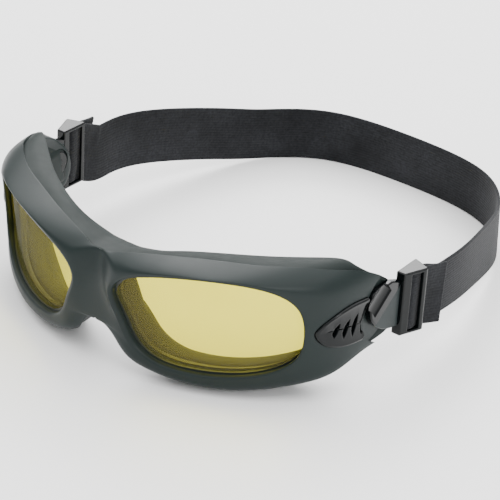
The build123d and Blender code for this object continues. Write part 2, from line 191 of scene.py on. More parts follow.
# Guide rows round the front: lens opening (x, z upright), the parting line or outer edge (bench x, y, z),
# and the two handles of the rounded profile between them: (share along, share up, proud). The outer-edge
# points at x 29.9 and 72.7 are rounded from that fit too.
GUIDES = (
    ((13.2, 19.0), (0.0, -7.2, 24.5), (0.20, 0.80, -0.8), (0.60, 1.00, -5.8)),
    ((14.6, 20.3), (3.5, -6.9, 24.7), (0.20, 0.85, -0.6), (0.60, 1.05, -5.6)),
    ((17.0, 21.7), (7.5, -5.6, 25.5), (0.15, 0.90, -0.2), (0.60, 1.10, -5.0)),
    ((22.0, 23.7), (14.0, -3.6, 27.0), (0.10, 1.00, 0.6), (0.60, 1.20, -4.0)),
    ((33.0, 26.2), (29.9, 1.9, 29.4), (0.10, 1.15, 1.1), (0.60, 1.35, -3.6)),
    ((45.0, 26.8), (44.5, 9.0, 30.4), (0.10, 1.50, 1.1), (0.60, 1.80, -4.8)),
    ((57.3, 25.1), (60.0, 18.5, 30.6), (0.10, 1.00, 1.0), (0.60, 1.30, -5.4)),
    ((66.6, 20.7), (72.7, 31.1, 29.6), (0.18, 0.60, 0.7), (0.60, 0.88, -4.6)),
    ((71.0, 16.0), (80.2, 45.0, 26.6), (0.30, 0.30, 0.0), (0.65, 0.75, -2.4)),
    ((73.0, 9.0), (84.6, 60.0, 19.2), (0.35, 0.35, 0.1), (0.70, 0.85, -0.8)),
    ((73.7, 3.0), (84.9, 71.2, 7.0), (0.35, 0.35, 0.0), (0.70, 0.70, 0.0)),
    ((73.2, -4.0), (84.9, 69.5, -5.0), (0.35, 0.35, 0.0), (0.70, 0.70, 0.0)),
    ((71.6, -9.7), (84.0, 52.0, -8.6), (0.35, 0.30, 0.0), (0.75, 0.75, 0.0)),
    ((65.0, -14.9), (80.0, 35.5, -14.6), (0.30, 0.45, 0.6), (0.80, 0.90, 0.2)),
    ((53.0, -17.0), (57.6, 17.7, -22.2), (0.15, 0.60, 0.7), (0.50, 1.02, -0.9)),
    ((38.0, -16.5), (38.0, 7.6, -22.6), (0.10, 0.60, 0.7), (0.40, 1.04, -0.9)),
    ((24.7, -13.5), (22.5, 1.8, -20.6), (0.10, 0.60, 0.6), (0.40, 1.04, -0.9)),
    ((20.0, -9.9), (10.7, -3.6, -15.0), (0.30, 0.50, 0.6), (0.75, 0.95, 0.8)),
    ((18.4, -8.2), (5.6, -6.6, -7.6), (0.30, 0.45, 0.3), (0.65, 0.92, -0.6)),
    ((16.6, -5.2), (2.4, -7.4, -5.6), (0.30, 0.40, 0.0), (0.60, 0.90, -1.8)),
    ((15.4, -2.4), (0.0, -7.9, -5.2), (0.30, 0.40, -0.2), (0.55, 0.90, -2.6)),
    ((13.0, 3.8), (0.0, -8.7, 5.0), (0.25, 0.30, -0.5), (0.50, 0.80, -3.4)),
    ((10.0, 13.4), (0.0, -8.7, 16.5), (0.25, 0.50, -0.9), (0.55, 1.00, -4.8)),
)
ON_SEAM = 1e-5                         # points this near to x = 0 are shared by both halves
SEAM_FROM_GUIDE = 20                   # the outer edge runs up the middle of the bridge from this row on


def guide_stations():
    """Spline knots of the guide rows in surface coordinates, with their parameters and the stations' own."""
    rows = []
    for opening, edge, near, far in GUIDES:
        place = surface_place([edge])[0]
        rows.append((opening[0], opening[1], *place, *near, *far))
    rows = np.array(rows)
    lap = len(rows)
    knots = np.vstack([rows[-LEAD:], rows, rows[:TRAIL]])
    gaps = 0.5 * np.linalg.norm(np.diff(knots[:, :2], axis=0), axis=1)
    gaps += 0.5 * np.linalg.norm(np.diff(knots[:, 2:5], axis=0), axis=1)
    t = np.concatenate([[0], np.cumsum(gaps)])
    start, end = t[LEAD], t[LEAD + lap]
    at = np.linspace(start, end, STATIONS, endpoint=False)
    return knots, t, at


def aperture_loop(stations):
    """Nearest point of the smooth lens opening for each station, with its outward direction."""
    loop = smooth([(x, z, 0) for x, z in APERTURE], APERTURE_SAMPLES, closed=True)[:, :2]
    along = np.roll(loop, -1, axis=0) - np.roll(loop, 1, axis=0)
    along /= np.linalg.norm(along, axis=1)[:, None]
    outward = np.stack([-along[:, 1], along[:, 0]], 1)
    near = [int(np.argmin(((loop - p) ** 2).sum(1))) for p in stations]
    return loop[near], outward[near]


def at_radius(xz, proud):
    """(x, z) in the upright front view to surface coordinates, on a cylinder proud of the front's."""
    radius = FRONT_R + proud
    angle = np.arcsin(np.clip(xz[:, 0] / radius, -1, 1))
    return np.stack([angle * FRONT_R, xz[:, 1], np.full(len(xz), proud)], 1)


def bezier(a, b, c, d, v):
    """Cubic Bezier rings from a to d with handles b and c, at the shares v."""
    return ((1 - v) ** 3)[:, None, None] * a + (3 * (1 - v) ** 2 * v)[:, None, None] * b \
        + (3 * (1 - v) * v ** 2)[:, None, None] * c + (v ** 3)[:, None, None] * d


def skin_normals(skin):
    """Outward normals at every ring of the skin."""
    along = np.roll(skin, -1, axis=1) - np.roll(skin, 1, axis=1)
    normal = np.cross(along, np.gradient(skin, axis=0))
    return normal / np.linalg.norm(normal, axis=2)[:, :, None]


def mesh_object(name, vertices, faces, material):
    """Smooth-shaded mesh object from bench points, in the scene."""
    mesh = bpy.data.meshes.new(name)
    mesh.from_pydata([tuple(v) for v in to_row(vertices)], [], faces)
    mesh.materials.append(material)
    mesh.validate()
    piece = bpy.data.objects.new(name, mesh)
    bpy.context.scene.collection.objects.link(piece)
    mesh.shade_smooth()
    return piece


def mirrored_loft(name, rings, walls, seam, material):
    """Closed loft through rings of stations round one lens, joined to its mirror image at x = 0.

    Faces between a ring in walls and the next are left out along the seam, where both halves meet."""
    rings = np.array(rings)
    rings[:, :, 0] = np.where(np.abs(rings[:, :, 0]) < ON_SEAM, 0, rings[:, :, 0])
    count, stations = rings.shape[:2]
    half = rings.reshape(-1, 3)
    twin = np.arange(len(half)) + len(half)
    twin[half[:, 0] == 0] = np.flatnonzero(half[:, 0] == 0)
    faces = []
    for i in range(count):
        for j in range(stations):
            k = (j + 1) % stations
            if i in walls and seam[j] and seam[k]:
                continue
            m = (i + 1) % count
            face = (i * stations + j, i * stations + k, m * stations + k, m * stations + j)
            faces.append(face[::-1])
            faces.append(tuple(int(twin[v]) for v in face))
    piece = mesh_object(name, np.vstack([half, half * (-1, 1, 1)]), faces, material)
    remove_loose(piece.data)
    return piece


def remove_loose(mesh):
    """Delete the points that no face uses, and make the normals agree."""
    edit = bmesh.new()
    edit.from_mesh(mesh)
    bmesh.ops.delete(edit, geom=[v for v in edit.verts if not v.link_faces], context="VERTS")
    bmesh.ops.recalc_face_normals(edit, faces=edit.faces)
    edit.to_mesh(mesh)
    edit.free()


OFF_SEAM = 0.02                        # least x of a station that isn't on the middle seam
PROFILE_STEPS = 17                     # rings of the outer skin, from the lens opening to the parting line
LIP_LAYERS = ((0.0, LENS_BACK), (0.0, LENS_LIP), (0.0, -1.2), (0.2, -0.4), (0.8, -0.02))  # (grown by, proud)
SKIN_GROW, SKIN_PROUD = 1.6, 0.12      # where the outer skin starts, outside the lens opening
LEVEL_S = 3.0                          # the skin crosses the middle of the bridge level within this length
EDGE_THICKNESS = 1.6                   # of the front at its parting line
LENS_SEAT_DEPTH = 7.4                  # from the outer surface to the back of the lens opening
LENS_SEAT_GROW = 0.5                   # the inner wall ends this far outside the lens opening
INNER_RINGS = (14, 12, 10, 8, 6)       # rings of the skin that the inner wall follows
INNER_SLOPE = 0.8                      # of the inner wall, from the lens seat outward
EAR_THICKNESS = 3.9
EAR_FROM_S = 106.0                     # middle of the blend into the ear, along the plan curve
EAR_BLEND = 12.0                       # length of that blend
NARROW, BROAD = 6.0, 10.0              # between these widths the wall goes from thin to its full thickness
THIN_SHARE = 0.3                       # of the full thickness where the moulding is narrow
CORNER_SHARE = 0.3                     # of the thickness, down to the ring that rounds the parting line
INNER_X = 0.05                         # least x of the inner wall
EAR_LAP = 0.2                          # the seal's end lies this far below the ear's inner side
LOBE_END_S = 131.0                     # where the seal ends inside the ear
SEAL_GAP = 0.9                         # the seal lies this far below the front's edge
CUP_LAYERS = ((0.2, -7.5), (0.3, -11.0), (0.5, -15.0))        # eye-cup wall of the seal: (grown by, proud)
REAR_LAYERS = ((0.62, 1.2), (0.9, 0.6))    # (share of the way to the rear edge, further back)
FLANGE_SHARES = (0.06, 0.3, 0.6, 0.94)
FLANGE_BULGE = 0.8
HIDDEN_GROW, HIDDEN_PROUD = 2.2, -7.6  # the seal's last ring, hidden behind the front

# Rear edge of the seal beside each guide row, in the face's upright frame (x, y, z)
SEAL_EDGE = ((0.0, 12.3, 19.4), (4.0, 12.2, 19.5), (8.5, 12.1, 20.2), (15.0, 12.0, 21.9),
             (27.0, 13.5, 25.6), (41.0, 21.0, 25.9), (55.0, 31.6, 24.2), (68.0, 43.0, 22.6),
             (76.0, 49.5, 20.4), (78.8, 52.5, 12.5), (79.2, 54.0, 5.0), (79.2, 54.0, -2.0),
             (78.2, 52.0, -11.0), (72.5, 45.0, -20.5), (57.0, 33.5, -29.6), (40.0, 22.0, -30.6),
             (24.0, 15.0, -24.4), (12.6, 11.8, -14.6), (6.8, 11.3, -5.4), (3.0, 11.1, -2.2),
             (0.0, 11.0, -1.6), (0.0, 11.4, 5.5), (0.0, 12.0, 13.0))


def clear_of_opening(place, start, outward):
    """Move places sideways until they are at least a thin wall outside the lens opening."""
    inside_start, near_within = 0.7, 5.0
    beyond = ((place[:, :2] - start[:, :2]) * outward).sum(1)
    near = np.linalg.norm(place[:, :2] - start[:, :2], axis=1) < near_within
    push = np.where(near, np.maximum(-inside_start - beyond, 0), 0)
    return np.hstack([place[:, :2] + outward * push[:, None], place[:, 2:]])


def handle(start, edge, shares):
    """Handle of the rounded profile: shares of the way along and up to the edge, and how proud it is."""
    return np.stack([start[:, 0] + shares[:, 0] * (edge[:, 0] - start[:, 0]),
                     start[:, 1] + shares[:, 1] * (edge[:, 1] - start[:, 1]), shares[:, 2]], 1)


def front_skin(start, edge, rows):
    """Rings of the outer skin, from beside the lens opening to the parting line."""
    near = handle(start, edge, rows[:, 5:8])
    far = handle(start, edge, rows[:, 8:11])
    level = np.clip(1 - edge[:, :1] / LEVEL_S, 0, 1)
    far[:, 1:] += level * (edge[:, 1:] - far[:, 1:])
    share = 0.5 - 0.5 * np.cos(np.linspace(0, pi, PROFILE_STEPS))
    return np.array([on_surface(ring) for ring in bezier(start, near, far, edge, share)])


def wall_thickness(start, edge):
    """How broad the moulding is at each station, from 0 to 1, and how thick its wall is there."""
    ear = np.clip((edge[:, 0] - EAR_FROM_S + 0.5 * EAR_BLEND) / EAR_BLEND, 0, 1)[:, None]
    thickness = EDGE_THICKNESS + (EAR_THICKNESS - EDGE_THICKNESS) * ear
    width = np.linalg.norm(edge[:, :2] - start[:, :2], axis=1)[:, None]
    broad = np.clip((width - NARROW) / (BROAD - NARROW), 0, 1)
    return broad, thickness * (THIN_SHARE + (1 - THIN_SHARE) * broad)


def inner_rings(skin, normal, start, wall_foot, seat_edge, broad, thickness):
    """Rings of the inner wall, which lies straight where the moulding is too narrow to follow the skin."""
    rings = []
    for count, i in enumerate(INNER_RINGS):
        inner = surface_place(skin[i] - normal[i] * thickness)
        away = np.linalg.norm(inner[:, :2] - start[:, :2], axis=1)[:, None]
        inner[:, 2:] = np.minimum(inner[:, 2:], INNER_SLOPE * away - LENS_SEAT_DEPTH)
        straight = wall_foot + (count + 1) / (len(INNER_RINGS) + 1) * (seat_edge - wall_foot)
        inner = broad * inner + (1 - broad) * straight
        inner[:, 0] = np.maximum(inner[:, 0], INNER_X)
        rings.append(on_surface(inner))
    return rings


def front_rings():
    """Rings of the front, the rings whose wall stops at the seam, the seam, and what the seal follows."""
    knots, t, at = guide_stations()
    rows = natural_cubic(t, knots, at)
    seam = (at >= t[LEAD + SEAM_FROM_GUIDE]) | (at <= t[LEAD])
    opening, outward = aperture_loop(rows[:, :2])
    edge = rows[:, 2:5].copy()
    edge[:, 0] = np.where(seam, 0, np.maximum(edge[:, 0], OFF_SEAM))
    start = at_radius(opening + outward * SKIN_GROW, SKIN_PROUD)
    skin = front_skin(start, edge, rows)
    normal = skin_normals(skin)
    normal[-1][seam, 0] = 0
    broad, thickness = wall_thickness(start, edge)
    rings = [on_surface(at_radius(opening + outward * grow, proud)) for grow, proud in LIP_LAYERS]
    rings += list(skin)
    wall_from = len(rings) - 1
    rings.append(skin[-1] - normal[-1] * thickness * CORNER_SHARE)
    foot = surface_place(skin[-1] - normal[-1] * thickness)
    rings.append(on_surface(clear_of_opening(foot, start, outward)))
    for ring in rings[wall_from:]:
        ring[seam, 0] = 0
    seat_edge = at_radius(opening + outward * LENS_SEAT_GROW, -LENS_SEAT_DEPTH)
    rings += inner_rings(skin, normal, start, surface_place(rings[-1]), seat_edge, broad, thickness)
    rings.append(on_surface(seat_edge))
    rings.append(on_surface(at_radius(opening, -LENS_SEAT_DEPTH)))
    guide = dict(opening=opening, outward=outward, normal=normal[-1], t=t, at=at)
    return rings, {wall_from, wall_from + 1}, seam, guide


def seal_rear(guide, seam):
    """Rear edge of the seal at every station."""
    lap = len(SEAL_EDGE)
    rear_rows = np.array([SEAL_EDGE[i % lap] for i in range(-LEAD, lap + TRAIL)])
    rear = from_face(natural_cubic(guide["t"], rear_rows, guide["at"]))
    rear[:, 0] = np.where(seam, 0, np.maximum(rear[:, 0], OFF_SEAM))
    return rear


def seal_ledge(front, guide, seam):
    """The seal's edge under the parting line, which ends inside the ear."""
    ledge = surface_place(front - guide["normal"] * SEAL_GAP)
    ends_in_ear = ledge[:, 0] > LOBE_END_S
    ledge[ends_in_ear, 0] = LOBE_END_S
    ledge[ends_in_ear, 2] = -EAR_THICKNESS - EAR_LAP
    ledge[seam, 0] = 0
    return on_surface(ledge)


def seal_rings(front, guide, seam):
    """Rings of the face seal: eye-cup wall, rear edge, flange up to the parting line, hidden front."""
    rear = seal_rear(guide, seam)
    ledge = seal_ledge(front, guide, seam)
    opening, outward = guide["opening"], guide["outward"]
    cup = [on_surface(at_radius(opening + outward * grow, proud)) for grow, proud in CUP_LAYERS]
    rounded = [cup[-1] + share * (rear - cup[-1]) + (0, back, 0) for share, back in REAR_LAYERS]
    rings = cup + rounded + [rear]
    wall_from = len(rings) - 1
    for share in FLANGE_SHARES:
        bulge = FLANGE_BULGE * sin(pi * share)
        rings.append(rear + share * (ledge - rear) + guide["normal"] * bulge)
    rings.append(ledge)
    walls = set(range(wall_from, len(rings) - 1))
    for ring in rings[wall_from:]:
        ring[seam, 0] = 0
    behind = on_surface(at_radius(opening + outward * HIDDEN_GROW, HIDDEN_PROUD))
    rings.append(ledge + 0.5 * (behind - ledge))
    rings.append(behind)
    for ring in rings:
        ring[:, 2] = np.maximum(ring[:, 2], FLOOR)
    return rings, walls


# ---------------------------------------------------------------- strap

STRAP_WIDTH = 25.0
STRAP_THICKNESS = 1.4
RIB_COUNT = 20
RIB_STEPS = 6                          # of the mesh across one rib
RIB_POWER = 0.7                        # below 1, so the ribs are fuller than a sine wave
RIB_HEIGHT = 0.10
RIB_MARGIN = 0.35                      # from the outermost rib to the edge of the webbing
STRAP_STATIONS = 520                   # along one half
HEAD_Y = 110.0                         # y of a point inside the strap's loop
# Middle line of the strap's +X half: x, y, z, lean outward in degrees, from the free tail round the bar.
# The points from y 100.8 to y 162.9, x and y of the next one, and the leans 3.2 and -4.0 are rounded from a
# fit to the photograph.
STRAP_ROUTE = ((90.4, 92.8, 2.4, -6.0), (89.3, 88.6, 3.0, -4.0), (88.3, 84.0, 3.8, -1.5),
               (87.8, 79.5, 4.4, 0.0), (88.2, 76.0, 4.6, 0.0), (87.75, 74.1, 4.6, 0.0),
               (86.2, 73.4, 4.6, 0.0), (84.65, 74.1, 4.6, 0.0), (84.3, 76.5, 4.6, 0.0),
               (85.2, 80.0, 4.4, 0.0), (85.5, 84.0, 3.0, 1.0), (85.4, 88.5, 1.2, 2.5),
               (85.1, 93.0, -0.3, 3.2), (85.2, 100.8, -0.4, 3.2), (84.7, 110.9, -0.7, 2.6),
               (82.7, 122.6, -2.0, 1.8), (79.4, 135.4, -4.1, 0.6), (75.4, 149.0, -6.8, -0.8),
               (70.8, 162.9, -9.8, -2.0), (65.3, 176.0, -12.4, -3.0), (58.2, 187.7, -13.4, -3.6),
               (49.4, 196.8, -13.5, -4.0), (37.6, 203.4, -13.4, -4.0), (20.0, 207.0, -13.3, -4.0),
               (0.0, 207.9, -13.3, -4.0))


def strap_section():
    """Cross-section of the webbing: across its width and out of its face, with lengthwise ribs."""
    half_width, half_thick = 0.5 * STRAP_WIDTH, 0.5 * STRAP_THICKNESS
    steps = RIB_COUNT * RIB_STEPS
    across = np.linspace(-half_width + RIB_MARGIN, half_width - RIB_MARGIN, steps + 1)
    wave = np.sin(pi * RIB_COUNT * (across - across[0]) / (across[-1] - across[0]))
    rib = RIB_HEIGHT * np.abs(wave) ** RIB_POWER
    outer = np.stack([across, half_thick - RIB_HEIGHT + rib], 1)
    inner = np.stack([across[::-1], -half_thick + RIB_HEIGHT - rib], 1)
    edge = [(half_width - 0.06, 0.35 * half_thick), (half_width - 0.06, -0.35 * half_thick)]
    return np.vstack([outer, edge, inner, [(-a, -b) for a, b in edge]])


def strap_directions(centre, lean):
    """Across the webbing and out of its face at every station, leant outward by the given angles."""
    along = np.gradient(centre, axis=0)
    along /= np.linalg.norm(along, axis=1)[:, None]
    out = np.cross(along, WORLD_UP)
    out /= np.linalg.norm(out, axis=1)[:, None]
    up = np.cross(out, along)
    # the lean is outward on both runs of the fold, whichever way the band's own outer face looks
    radial = np.stack([centre[:, 0], centre[:, 1] - HEAD_Y, np.zeros(len(centre))], 1)
    side = np.sign((out * radial).sum(1))[:, None]
    up_leant = up * np.cos(lean)[:, None] + out * side * np.sin(lean)[:, None]
    return up_leant, np.cross(along, up_leant)


def strap_band(material):
    """The webbing with its folds round both strap bars, lifted where it would go through the floor."""
    half = smooth(STRAP_ROUTE, STRAP_STATIONS)
    whole = np.vstack([half, (half * (-1, 1, 1, 1))[::-1][1:]])
    centre = whole[:, :3]
    up, out = strap_directions(centre, np.radians(whole[:, 3]))
    section = strap_section()
    points = centre[:, None] + up[:, None] * section[None, :, :1] + out[:, None] * section[None, :, 1:]
    lift = np.maximum(0, FLOOR - points[..., 2].min(1))
    points[..., 2] += lift[:, None]
    rows, around = points.shape[:2]
    faces = [(i * around + j, i * around + (j + 1) % around, (i + 1) * around + (j + 1) % around,
              (i + 1) * around + j) for i in range(rows - 1) for j in range(around)]
    faces.append(tuple(range(around))[::-1])
    faces.append(tuple((rows - 1) * around + j for j in range(around)))
    band = mesh_object("strap_webbing", points.reshape(-1, 3), faces, material)
    remove_loose(band.data)
    return band


# ---------------------------------------------------------------- materials

ARM_EDGE_START, ARM_EDGE_END = (54.3, 1.6), (68.8, 13.3)      # slanted edge of the dish, bench y and z
ARM_EDGE_BLUR = 0.0002
# lighter grey-green below the arm's slanted edge: painted reflection of the pale surroundings on the glossy
# plastic
ARM_PAINTED_REFLECTION = (0.011, 0.017, 0.017)
ARM_GLOSS = (0.0015, 0.0022, 0.0024)
BEVEL_SAMPLES = 6
GRAIN_STRENGTH = 0.35


def new_material(name):
    """Node material: itself, its nodes and links, and its Principled shader."""
    material = bpy.data.materials.new(name)
    material.use_nodes = True
    nodes, links = material.node_tree.nodes, material.node_tree.links
    return material, nodes, links, nodes["Principled BSDF"]


def noise(nodes, links, scale, detail=4.0, roughness=0.55):
    """Noise in the object's own coordinates, whose unit is a metre."""
    place = nodes.new("ShaderNodeTexCoord")
    texture = nodes.new("ShaderNodeTexNoise")
    texture.inputs["Scale"].default_value = scale
    texture.inputs["Detail"].default_value = detail
    texture.inputs["Roughness"].default_value = roughness
    links.new(place.outputs["Object"], texture.inputs["Vector"])
    return texture


def ramp(nodes, links, source, low, high, at=(0.3, 0.7)):
    """Colour between two linear RGB colours as source goes from at[0] to at[1]."""
    colours = nodes.new("ShaderNodeValToRGB")
    colours.color_ramp.elements[0].position, colours.color_ramp.elements[1].position = at
    colours.color_ramp.elements[0].color = (*low, 1)
    colours.color_ramp.elements[1].color = (*high, 1)
    links.new(source, colours.inputs["Fac"])
    return colours.outputs["Color"]


def value_range(nodes, links, source, low, high, at=(0.0, 1.0)):
    """Value between low and high as source goes from at[0] to at[1]."""
    node = nodes.new("ShaderNodeMapRange")
    node.inputs["From Min"].default_value = at[0]
    node.inputs["From Max"].default_value = at[1]
    node.inputs["To Min"].default_value = low
    node.inputs["To Max"].default_value = high
    links.new(source, node.inputs["Value"])
    return node.outputs["Result"]


def soft_edges(nodes, radius):
    """Normals that round the sharp edges, as moulded edges are."""
    node = nodes.new("ShaderNodeBevel")
    node.samples = BEVEL_SAMPLES
    node.inputs["Radius"].default_value = radius
    return node.outputs["Normal"]


def bump(nodes, links, height, strength, distance, base=None):
    """Normals from a height, on top of the base normals."""
    node = nodes.new("ShaderNodeBump")
    node.inputs["Strength"].default_value = strength
    node.inputs["Distance"].default_value = distance
    links.new(height, node.inputs["Height"])
    if base is not None:
        links.new(base, node.inputs["Normal"])
    return node.outputs["Normal"]


def plastic(name, colour, variation, roughness, grain, grain_depth, edge=None, specular=0.5):
    """Moulded plastic: slight colour and gloss variation, fine mould grain, and softened edges."""
    material, nodes, links, shader = new_material(name)
    cloud = noise(nodes, links, 60.0)
    dark = tuple(c * (1 - variation) for c in colour)
    light = tuple(c * (1 + variation) for c in colour)
    links.new(ramp(nodes, links, cloud.outputs["Fac"], dark, light), shader.inputs["Base Color"])
    wear = noise(nodes, links, 220.0).outputs["Fac"]
    gloss = value_range(nodes, links, wear, roughness * 0.88, roughness * 1.12)
    links.new(gloss, shader.inputs["Roughness"])
    shader.inputs["Specular IOR Level"].default_value = specular
    soft = soft_edges(nodes, edge) if edge else None
    height = noise(nodes, links, grain, detail=2.0).outputs["Fac"]
    links.new(bump(nodes, links, height, GRAIN_STRENGTH, grain_depth, soft), shader.inputs["Normal"])
    return material


def arm_material():
    """Strap arm: glossy black dish above the slanted edge; the tab below it is rougher, in a lighter
    grey-green that is painted reflection of the pale surroundings.

    share is 1 above the edge and 0 below it, from the height over a line with the edge's slope."""
    material, nodes, links, shader = new_material("arm_painted_reflection")
    place = nodes.new("ShaderNodeTexCoord")
    split = nodes.new("ShaderNodeSeparateXYZ")
    links.new(place.outputs["Object"], split.inputs["Vector"])
    start, end = to_row((0, *ARM_EDGE_START)), to_row((0, *ARM_EDGE_END))
    slope = (end[2] - start[2]) / (end[1] - start[1])
    height = nodes.new("ShaderNodeMath")
    height.operation = "MULTIPLY_ADD"
    height.inputs[1].default_value = -slope
    links.new(split.outputs["Y"], height.inputs[0])
    links.new(split.outputs["Z"], height.inputs[2])
    level = start[2] - slope * start[1]
    blur = (level - ARM_EDGE_BLUR, level + ARM_EDGE_BLUR)
    share = value_range(nodes, links, height.outputs["Value"], 0.0, 1.0, blur)
    # the lighter colour below the edge is painted reflection; the black above it is the plastic's own colour
    links.new(ramp(nodes, links, share, ARM_PAINTED_REFLECTION, ARM_GLOSS, (0.0, 1.0)), shader.inputs["Base Color"])
    links.new(value_range(nodes, links, share, 0.46, 0.16), shader.inputs["Roughness"])
    shader.inputs["Specular IOR Level"].default_value = 0.2
    soft = soft_edges(nodes, 0.0004)
    grain = noise(nodes, links, 1500.0, detail=2.0).outputs["Fac"]
    links.new(bump(nodes, links, grain, GRAIN_STRENGTH, 0.00002, soft), shader.inputs["Normal"])
    return material


def lens_material():
    """Amber polycarbonate: tinted in the body, clear and glossy at the surface."""
    material, nodes, links, shader = new_material("amber_lens")
    clear = nodes.new("ShaderNodeBsdfTransparent")
    cloud = noise(nodes, links, 25.0)
    tint = ramp(nodes, links, cloud.outputs["Fac"], (0.86, 0.81, 0.23), (0.89, 0.84, 0.25))
    links.new(tint, clear.inputs["Color"])
    shader.inputs["Base Color"].default_value = (0.60, 0.54, 0.27, 1)
    shader.inputs["Roughness"].default_value = 0.06
    shader.inputs["IOR"].default_value = 1.58
    mix = nodes.new("ShaderNodeMixShader")
    mix.inputs["Fac"].default_value = 0.07
    links.new(clear.outputs["BSDF"], mix.inputs[1])
    links.new(shader.outputs["BSDF"], mix.inputs[2])
    links.new(mix.outputs["Shader"], nodes["Material Output"].inputs["Surface"])
    return material


def webbing_material():
    """Woven elastic: dark, mottled and matte with a slight fuzz. The ribs are in the mesh."""
    material, nodes, links, shader = new_material("strap_elastic")
    fibre = noise(nodes, links, 900.0, detail=3.0)
    patch = noise(nodes, links, 45.0)
    mix = nodes.new("ShaderNodeMath")
    mix.operation = "MULTIPLY"
    links.new(fibre.outputs["Fac"], mix.inputs[0])
    links.new(patch.outputs["Fac"], mix.inputs[1])
    dark, light = (0.003, 0.0035, 0.0045), (0.016, 0.017, 0.020)
    colour = ramp(nodes, links, mix.outputs["Value"], dark, light, (0.12, 0.42))
    links.new(colour, shader.inputs["Base Color"])
    shader.inputs["Roughness"].default_value = 0.85
    shader.inputs["Specular IOR Level"].default_value = 0.15
    shader.inputs["Sheen Weight"].default_value = 0.08
    shader.inputs["Sheen Roughness"].default_value = 0.5
    links.new(bump(nodes, links, fibre.outputs["Fac"], 0.6, 0.00025), shader.inputs["Normal"])
    return material


def foam_material():
    """Open-cell filter foam, nearly black."""
    material, nodes, links, shader = new_material("filter_foam")
    cells = nodes.new("ShaderNodeTexVoronoi")
    cells.inputs["Scale"].default_value = 1600.0
    place = nodes.new("ShaderNodeTexCoord")
    links.new(place.outputs["Object"], cells.inputs["Vector"])
    dark, light = (0.004, 0.004, 0.004), (0.016, 0.017, 0.017)
    colour = ramp(nodes, links, cells.outputs["Distance"], dark, light, (0.1, 0.6))
    links.new(colour, shader.inputs["Base Color"])
    shader.inputs["Roughness"].default_value = 0.95
    return material


FRAME_PLASTIC = plastic("frame_plastic", (0.0095, 0.0150, 0.0145), variation=0.06, roughness=0.40,
                        grain=2600.0, grain_depth=0.00003, specular=0.17)
SEAL_RUBBER = plastic("seal_elastomer", (0.011, 0.0160, 0.0150), variation=0.08, roughness=0.55,
                      grain=300.0, grain_depth=0.00002, specular=0.12)
GLOSS_BLACK = plastic("gloss_black", (0.0018, 0.0028, 0.0030), variation=0.10, roughness=0.17,
                      grain=1500.0, grain_depth=0.00001, edge=0.00045, specular=0.2)
GASKET_RUBBER = plastic("gasket_rubber", (0.010, 0.013, 0.012), variation=0.10, roughness=0.45,
                        grain=1500.0, grain_depth=0.00002)
AMBER_LENS = lens_material()
ARM_PLASTIC = arm_material()
WEBBING = webbing_material()
FOAM = foam_material()

# ---------------------------------------------------------------- cuts and vent covers

# Arm seat in the ear, about the pivot, and the recess for the arm's hub inside the ear
ARM_FLOOR_X = 82.9                     # bottom of the seat
SEAT_R = 15.4
SEAT_DEPTH = 8.0
HUB_RECESS_R = 6.6
HUB_WEB = 1.0                          # left between the recess and the seat
CUT_SEGMENTS = 96
FRONT_SHARP, COVER_SHARP = 40.0, 32.0  # edges sharper than this many degrees stay crisp
# Leaf-shaped vent cover: its outline in side view (bench y, z) from the tip over the top
LEAF = ((26.4, 5.4), (27.6, 8.4), (30.4, 11.2), (34.2, 13.6), (38.6, 15.0), (43.0, 15.5), (46.6, 15.4),
        (49.0, 15.0), (47.4, 11.6), (46.3, 7.0), (46.6, 2.4), (48.2, -2.2), (45.4, -2.8), (40.0, -2.8),
        (34.4, -2.0), (30.2, -0.2), (27.6, 2.4))
LEAF_SPINE_Y = (30.5, 44.5)            # the line that the leaf shrinks towards
LEAF_SPINE_Z = 6.0
LEAF_SAMPLES = 220
# Layers of the leaf-shaped solids, inside to outside: (growth of the outline, proud of the temple)
VENT_LAYERS_RECESS = ((0.15, -1.4), (0.15, 3.0))
VENT_LAYERS_COVER = ((-20.0, -1.3), (-0.1, -1.3), (-0.1, 0.2), (-0.35, 0.65), (-0.8, 0.85), (-1.5, 0.75),
                     (-2.2, 0.5), (-20.0, 0.5))
# Curved slots of the vent cover: middle (bench y, z), half length, slant in degrees
SLOTS = ((34.0, 5.6, 3.3, 14.0), (38.3, 5.4, 4.3, 12.0), (42.4, 5.8, 5.0, 9.0), (47.0, 5.2, 5.1, 6.0))
SLOT_WIDTH = 2.5
SLOT_BOWS = (0.75, 0.25)               # shares of the width in front of the slot's line and behind it
SLOT_FROM_X, SLOT_TO_X = 70.0, 95.0    # beyond both faces of the temple there
SIDE_NAMES = {1: "left", -1: "right"}


def prism(name, outline, x_from, x_to):
    """Closed straight prism along x from a side-view outline (bench y, z), to cut with."""
    count = len(outline)
    points = [(x, y, z) for x in (x_from, x_to) for y, z in outline]
    faces = [tuple(range(count)), tuple(range(2 * count - 1, count - 1, -1))]
    faces += [((i + 1) % count, i, count + i, count + (i + 1) % count) for i in range(count)]
    piece = mesh_object(name, np.array(points), faces, FRAME_PLASTIC)
    remove_loose(piece.data)
    return piece


def circle(radius, start=0.0, end=2 * pi):
    """Circle or arc about the pivot in side view."""
    angles = np.linspace(start, end, CUT_SEGMENTS, endpoint=end < 2 * pi)
    return [(PIVOT_BENCH.y + radius * cos(a), PIVOT_BENCH.z + radius * sin(a)) for a in angles]


def seat_cutter(side):
    """The arm's seat: round about the pivot in front, open to the rear."""
    front_half = circle(SEAT_R, start=0.5 * pi, end=1.5 * pi)
    outline = front_half + [(PIVOT_BENCH.y + 2 * SEAT_R, PIVOT_BENCH.z - SEAT_R),
                            (PIVOT_BENCH.y + 2 * SEAT_R, PIVOT_BENCH.z + SEAT_R)]
    return prism("seat_cutter", outline, side * ARM_FLOOR_X, side * (ARM_FLOOR_X + SEAT_DEPTH))


def hub_recess_cutter(side):
    """Recess for the arm's hub in the ear's inner side."""
    x_from, x_to = ARM_FLOOR_X - 2 * SEAT_DEPTH, ARM_FLOOR_X - HUB_WEB
    return prism("recess_cutter", circle(HUB_RECESS_R), side * x_from, side * x_to)


